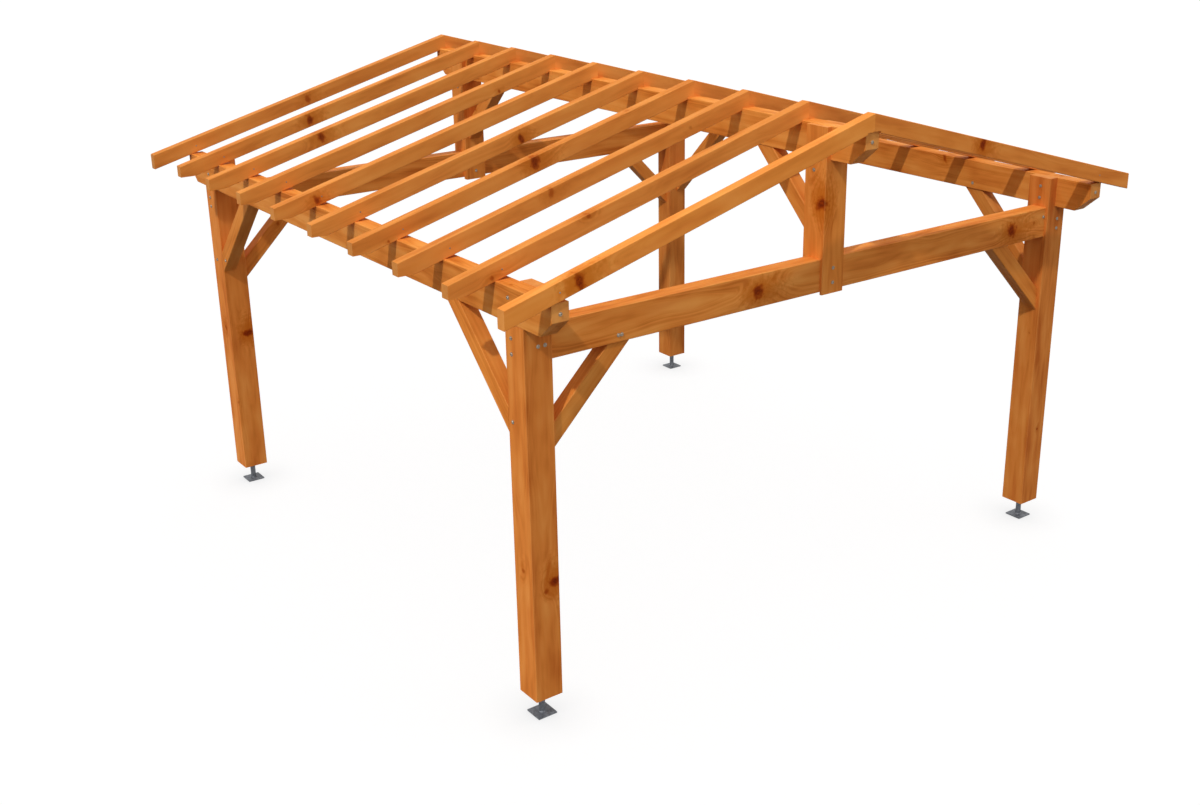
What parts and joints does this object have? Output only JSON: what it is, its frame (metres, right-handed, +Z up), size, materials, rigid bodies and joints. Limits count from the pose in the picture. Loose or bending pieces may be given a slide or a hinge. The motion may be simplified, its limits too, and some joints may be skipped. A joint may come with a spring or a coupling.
{
  "type": "timber gable pergola",
  "caption": "Open gable-roofed timber pergola frame: square posts on steel bases, purlins with bevelled ends, tie beams, forked king posts, diagonal braces and open rafters.",
  "frame": {"origin": "centre of the frame in plan, on the floor under the post bases", "axes": "+X across the gable to the right seen from the front gable, +Y along the ridge to the back gable, +Z up"},
  "size_m": [4.512, 4.457, 2.9583],
  "materials": {
    "stained_softwood": "satin",
    "galvanised_steel": "satin"
  },
  "bodies": {
    "root": {"post_base_front_left": "galvanised_steel", "post_base_front_right": "galvanised_steel", "post_base_back_left": "galvanised_steel", "post_base_back_right": "galvanised_steel", "post_front_left": "stained_softwood", "post_front_right": "stained_softwood", "post_back_left": "stained_softwood", "post_back_right": "stained_softwood", "eave_purlin_left": "stained_softwood", "eave_purlin_right": "stained_softwood", "ridge_purlin": "stained_softwood", "tie_beam_front": "stained_softwood", "tie_beam_back": "stained_softwood", "king_post_front": "stained_softwood", "king_post_back": "stained_softwood", "gable_brace_front_left": "stained_softwood", "gable_brace_front_right": "stained_softwood", "gable_brace_back_left": "stained_softwood", "gable_brace_back_right": "stained_softwood", "eave_brace_front_left": "stained_softwood", "eave_brace_front_right": "stained_softwood", "eave_brace_back_left": "stained_softwood", "eave_brace_back_right": "stained_softwood", "ridge_brace_front": "stained_softwood", "ridge_brace_back": "stained_softwood", "rafter_left_1": "stained_softwood", "rafter_left_2": "stained_softwood", "rafter_left_3": "stained_softwood", "rafter_left_4": "stained_softwood", "rafter_left_5": "stained_softwood", "rafter_left_6": "stained_softwood", "rafter_left_7": "stained_softwood", "rafter_left_8": "stained_softwood", "rafter_left_9": "stained_softwood", "rafter_left_10": "stained_softwood", "rafter_right_1": "stained_softwood", "rafter_right_2": "stained_softwood", "rafter_right_3": "stained_softwood", "rafter_right_4": "stained_softwood", "rafter_right_5": "stained_softwood", "rafter_right_6": "stained_softwood", "rafter_right_7": "stained_softwood", "rafter_right_8": "stained_softwood", "rafter_right_9": "stained_softwood", "rafter_right_10": "stained_softwood"}
  },
  "joints": []
}
